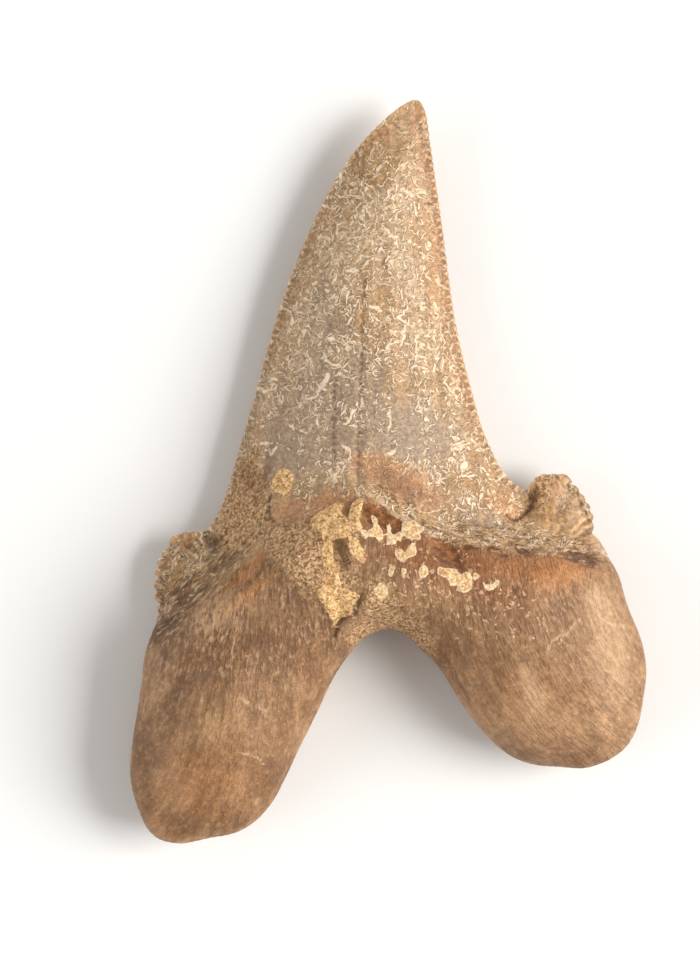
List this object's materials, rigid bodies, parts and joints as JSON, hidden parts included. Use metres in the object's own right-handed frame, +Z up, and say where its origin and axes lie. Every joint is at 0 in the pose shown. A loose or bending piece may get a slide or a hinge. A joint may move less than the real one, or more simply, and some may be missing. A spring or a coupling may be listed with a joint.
{
  "type": "fossil shark tooth",
  "caption": "Fossil shark tooth with a tall leaning crown, serrated cutting edges, side cusplets and a broad lobed root, lying on its flat outer face.",
  "frame": {"origin": "middle of the tooth's outline on the surface that it rests on", "axes": "+Y from the root to the crown's tip, +Z up out of the inner (lingual) face, +X to the distal side, which the crown leans to"},
  "size_m": [0.0542, 0.078, 0.0153],
  "materials": {
    "fossil_tooth": "mineralised tooth: worn, finely scribbled grey-brown enamel on the crown and dull striated brown root, with sandy matrix left in the neck"
  },
  "bodies": {
    "root": {"tooth": "fossil_tooth"}
  },
  "joints": []
}
